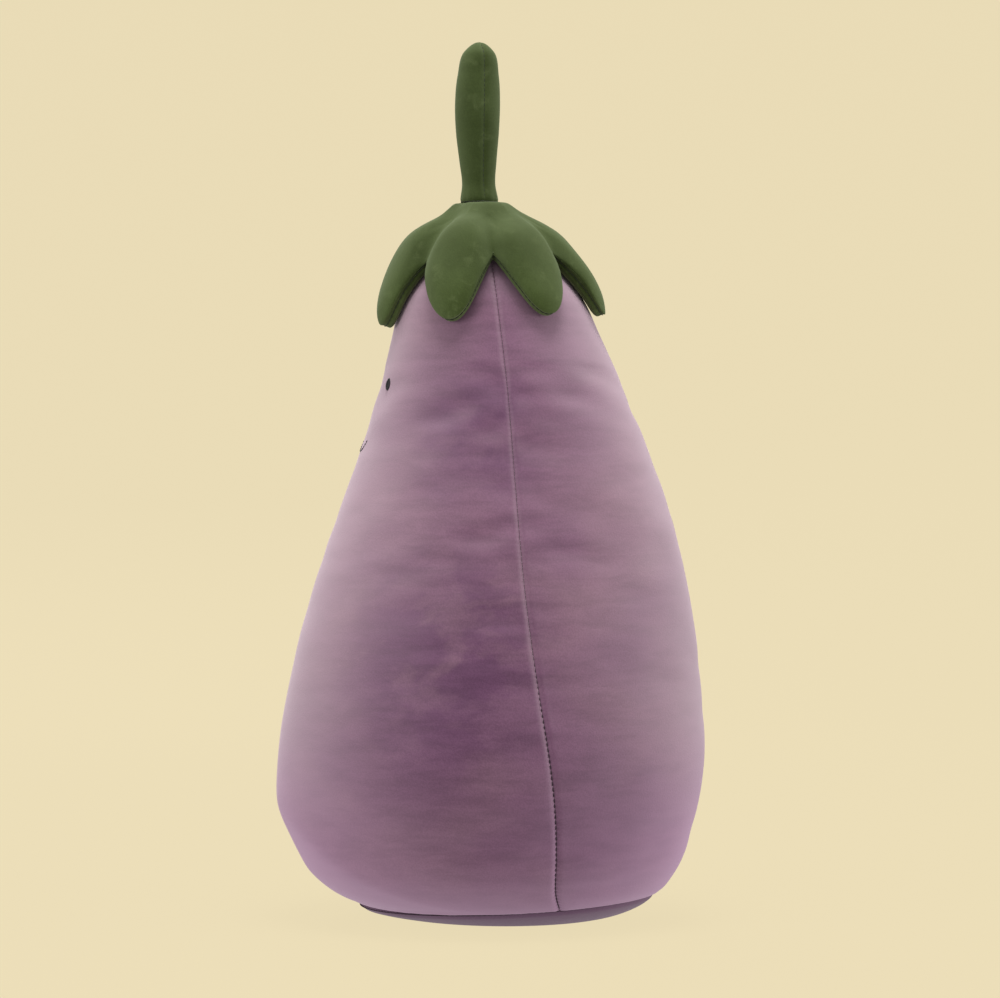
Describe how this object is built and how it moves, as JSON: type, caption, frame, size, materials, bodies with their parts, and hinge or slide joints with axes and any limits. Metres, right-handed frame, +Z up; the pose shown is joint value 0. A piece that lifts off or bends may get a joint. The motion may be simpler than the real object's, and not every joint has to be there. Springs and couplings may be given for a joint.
{
  "type": "plush eggplant toy",
  "caption": "Stuffed soft toy in the shape of an eggplant, pear-shaped body on a flat base, with a lobed leafy cap, an upright stem and a small stitched face.",
  "frame": {"origin": "on the floor, at the centre of the toy's outline seen from above", "axes": "+Z up along the body to the stem, -Y the way the face looks, +X to the right of someone who looks at the face"},
  "size_m": [0.2946, 0.2895, 0.6006],
  "materials": {
    "purple_pile": "short velvety pile, dusty purple",
    "purple_base_pile": "short velvety pile, greyer purple",
    "green_pile": "short velvety pile, olive green",
    "white_fibre": "loose polyester fibre filling",
    "pouch_linen": "plain woven cloth",
    "purple_thread": "sewing thread",
    "black_thread": "satin embroidery thread",
    "green_thread": "sewing thread"
  },
  "bodies": {
    "root": {"body_front_panel": "purple_pile", "body_back_panel": "purple_pile", "base_panel": "purple_base_pile", "body_stuffing": "white_fibre", "pellet_pouch": "pouch_linen", "side_seam_thread_right": "purple_thread", "side_seam_thread_left": "purple_thread", "base_seam_thread": "purple_thread", "front_dart_thread": "purple_thread", "eye_right": "black_thread", "eye_left": "black_thread", "mouth_embroidery": "black_thread", "calyx_upper_panel": "green_pile", "calyx_lower_panel": "green_pile", "calyx_stuffing": "white_fibre", "calyx_seam_thread": "green_thread", "stem_front_panel": "green_pile", "stem_back_panel": "green_pile", "stem_stuffing": "white_fibre", "stem_seam_thread": "green_thread", "stem_foot_thread": "green_thread"}
  },
  "joints": []
}
